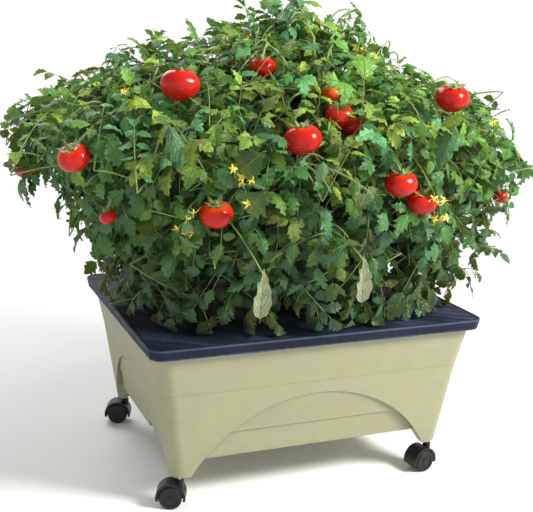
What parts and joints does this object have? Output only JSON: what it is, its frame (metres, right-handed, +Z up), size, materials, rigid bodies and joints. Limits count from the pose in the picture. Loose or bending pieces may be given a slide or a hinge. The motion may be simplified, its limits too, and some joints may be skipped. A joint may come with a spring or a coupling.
{
  "type": "raised planter on casters",
  "caption": "Raised patio planter: drafted plastic tub on short corner legs with swivel twin-wheel casters, film mulch cover, watering tube and fruiting tomato plants.",
  "frame": {"origin": "on the ground, under the middle of the tub", "axes": "+X along the tub's long side to the right, +Y towards the back, +Z up; the front is -Y"},
  "size_m": [1.02, 0.77, 0.85],
  "materials": {
    "tub_plastic": "satin",
    "screen_plastic": "matte",
    "tube_plastic": "satin",
    "soil": "matte",
    "mulch_film": "satin",
    "elastic": "matte",
    "caster_plastic": "satin",
    "wheel_plastic": "satin",
    "steel": "polished",
    "coated_wire": "satin",
    "stem": "matte",
    "leaf": "satin",
    "tomato_skin": "gloss"
  },
  "bodies": {
    "root": {"planter_tub": "tub_plastic", "aeration_screen": "screen_plastic", "fill_tube": "tube_plastic", "potting_mix": "soil", "mulch_cover": "mulch_film", "cover_elastic": "elastic", "trellis_stake_left": "coated_wire", "trellis_stake_right": "coated_wire", "trellis_rail": "coated_wire", "trellis_clips": "screen_plastic", "caster_front_left_socket": "caster_plastic", "caster_front_left_stem": "steel", "caster_front_right_socket": "caster_plastic", "caster_front_right_stem": "steel", "caster_back_left_socket": "caster_plastic", "caster_back_left_stem": "steel", "caster_back_right_socket": "caster_plastic", "caster_back_right_stem": "steel", "plant_front_left_stem": "stem", "plant_front_left_crown": "leaf", "plant_front_left_fruit": "tomato_skin", "plant_front_middle_stem": "stem", "plant_front_middle_crown": "leaf", "plant_front_middle_fruit": "tomato_skin", "plant_front_right_stem": "stem", "plant_front_right_crown": "leaf", "plant_front_right_fruit": "tomato_skin", "plant_back_left_stem": "stem", "plant_back_left_crown": "leaf", "plant_back_left_fruit": "tomato_skin", "plant_back_middle_stem": "stem", "plant_back_middle_crown": "leaf", "plant_back_middle_fruit": "tomato_skin", "plant_back_right_stem": "stem", "plant_back_right_crown": "leaf", "plant_back_right_fruit": "tomato_skin"},
    "swivel_front_left": {"caster_front_left_hood": "caster_plastic", "caster_front_left_axle": "steel"},
    "wheel_front_left_front": {"caster_front_left_wheel_front": "wheel_plastic"},
    "wheel_front_left_back": {"caster_front_left_wheel_back": "wheel_plastic"},
    "swivel_front_right": {"caster_front_right_hood": "caster_plastic", "caster_front_right_axle": "steel"},
    "wheel_front_right_front": {"caster_front_right_wheel_front": "wheel_plastic"},
    "wheel_front_right_back": {"caster_front_right_wheel_back": "wheel_plastic"},
    "swivel_back_left": {"caster_back_left_hood": "caster_plastic", "caster_back_left_axle": "steel"},
    "wheel_back_left_front": {"caster_back_left_wheel_front": "wheel_plastic"},
    "wheel_back_left_back": {"caster_back_left_wheel_back": "wheel_plastic"},
    "swivel_back_right": {"caster_back_right_hood": "caster_plastic", "caster_back_right_axle": "steel"},
    "wheel_back_right_front": {"caster_back_right_wheel_front": "wheel_plastic"},
    "wheel_back_right_back": {"caster_back_right_wheel_back": "wheel_plastic"}
  },
  "joints": [
    {"name": "front_left_swivel", "type": "hinge", "parent": "root", "child": "swivel_front_left", "pos_m": [-0.243, -0.1975, 0.045], "axis": [0, 0, 1], "continuous": true},
    {"name": "front_left_front_wheel_spin", "type": "hinge", "parent": "swivel_front_left", "child": "wheel_front_left_front", "pos_m": [-0.26103, -0.20208, 0.02], "axis": [0.3746, 0.9272, 0], "continuous": true},
    {"name": "front_left_back_wheel_spin", "type": "hinge", "parent": "swivel_front_left", "child": "wheel_front_left_back", "pos_m": [-0.25279, -0.18168, 0.02], "axis": [0.3746, 0.9272, 0], "continuous": true},
    {"name": "front_right_swivel", "type": "hinge", "parent": "root", "child": "swivel_front_right", "pos_m": [0.243, -0.1975, 0.045], "axis": [0, 0, 1], "continuous": true},
    {"name": "front_right_front_wheel_spin", "type": "hinge", "parent": "swivel_front_right", "child": "wheel_front_right_front", "pos_m": [0.23061, -0.21138, 0.02], "axis": [-0.2079, 0.9781, 0], "continuous": true},
    {"name": "front_right_back_wheel_spin", "type": "hinge", "parent": "swivel_front_right", "child": "wheel_front_right_back", "pos_m": [0.22604, -0.18986, 0.02], "axis": [-0.2079, 0.9781, 0], "continuous": true},
    {"name": "back_left_swivel", "type": "hinge", "parent": "root", "child": "swivel_back_left", "pos_m": [-0.243, 0.1975, 0.045], "axis": [0, 0, 1], "continuous": true},
    {"name": "back_left_front_wheel_spin", "type": "hinge", "parent": "swivel_back_left", "child": "wheel_back_left_front", "pos_m": [-0.26086, 0.19229, 0.02], "axis": [0.342, 0.9397, 0], "continuous": true},
    {"name": "back_left_back_wheel_spin", "type": "hinge", "parent": "swivel_back_left", "child": "wheel_back_left_back", "pos_m": [-0.25333, 0.21297, 0.02], "axis": [0.342, 0.9397, 0], "continuous": true},
    {"name": "back_right_swivel", "type": "hinge", "parent": "root", "child": "swivel_back_right", "pos_m": [0.243, 0.1975, 0.045], "axis": [0, 0, 1], "continuous": true},
    {"name": "back_right_front_wheel_spin", "type": "hinge", "parent": "swivel_back_right", "child": "wheel_back_right_front", "pos_m": [0.22662, 0.1887, 0.02], "axis": [0.1392, 0.9903, 0], "continuous": true},
    {"name": "back_right_back_wheel_spin", "type": "hinge", "parent": "swivel_back_right", "child": "wheel_back_right_back", "pos_m": [0.22968, 0.21048, 0.02], "axis": [0.1392, 0.9903, 0], "continuous": true}
  ]
}
